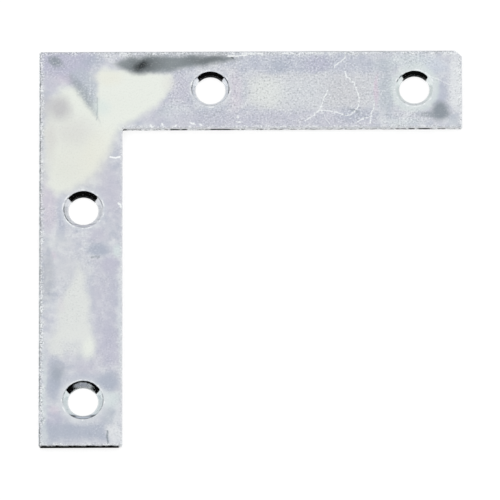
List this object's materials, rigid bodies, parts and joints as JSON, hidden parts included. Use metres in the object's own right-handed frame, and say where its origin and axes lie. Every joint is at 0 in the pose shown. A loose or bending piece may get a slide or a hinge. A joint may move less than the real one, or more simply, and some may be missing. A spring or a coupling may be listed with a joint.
{
  "type": "flat corner brace",
  "caption": "Flat L-shaped steel plate that stiffens a right-angled corner, with countersunk screw holes along both arms.",
  "frame": {"origin": "on the back face, where the hole line of one arm crosses the hole line of the other", "axes": "+X along one arm to its free end, -Y along the other arm to its free end, +Z out of the countersunk face"},
  "size_m": [0.076, 0.076, 0.0012],
  "materials": {
    "zinc_plated_steel": "bright zinc plating, slightly cloudy, with rubbed edges"
  },
  "bodies": {
    "root": {"corner_plate": "zinc_plated_steel"}
  },
  "joints": []
}
